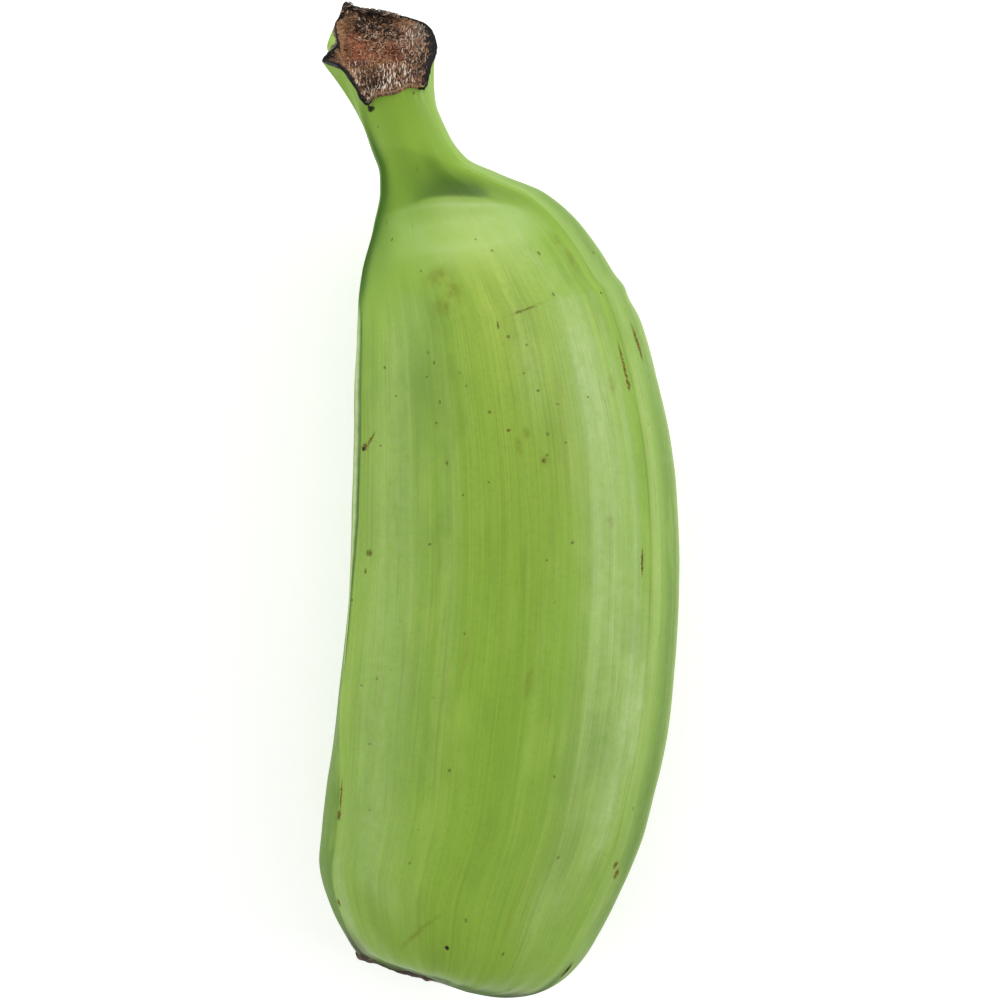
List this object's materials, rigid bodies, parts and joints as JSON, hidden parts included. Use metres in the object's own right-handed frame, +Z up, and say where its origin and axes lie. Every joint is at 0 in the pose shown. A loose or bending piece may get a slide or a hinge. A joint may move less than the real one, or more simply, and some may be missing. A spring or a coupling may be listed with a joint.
{
  "type": "green plantain",
  "caption": "Whole unripe plantain lying on its flank: a stout curved fruit with soft ridges, a narrow neck with a cut woody end, and a blunt blossom end.",
  "frame": {"origin": "on the surface the fruit lies on, under the middle of its bounding box", "axes": "+Y along the fruit towards the cut stem end, +X towards the outer side of its curve, +Z up through the flank that faces up"},
  "size_m": [0.0718, 0.2, 0.0487],
  "materials": {
    "peel": "smooth waxy green peel, satin, with fine lengthwise fibre streaks and small brown rub marks",
    "cut_end": "dry fibrous cut, matt, red-brown to tan, black at its rim",
    "scar": "dry dark remains of the flower, matt"
  },
  "bodies": {
    "root": {"plantain": "peel"}
  },
  "joints": []
}
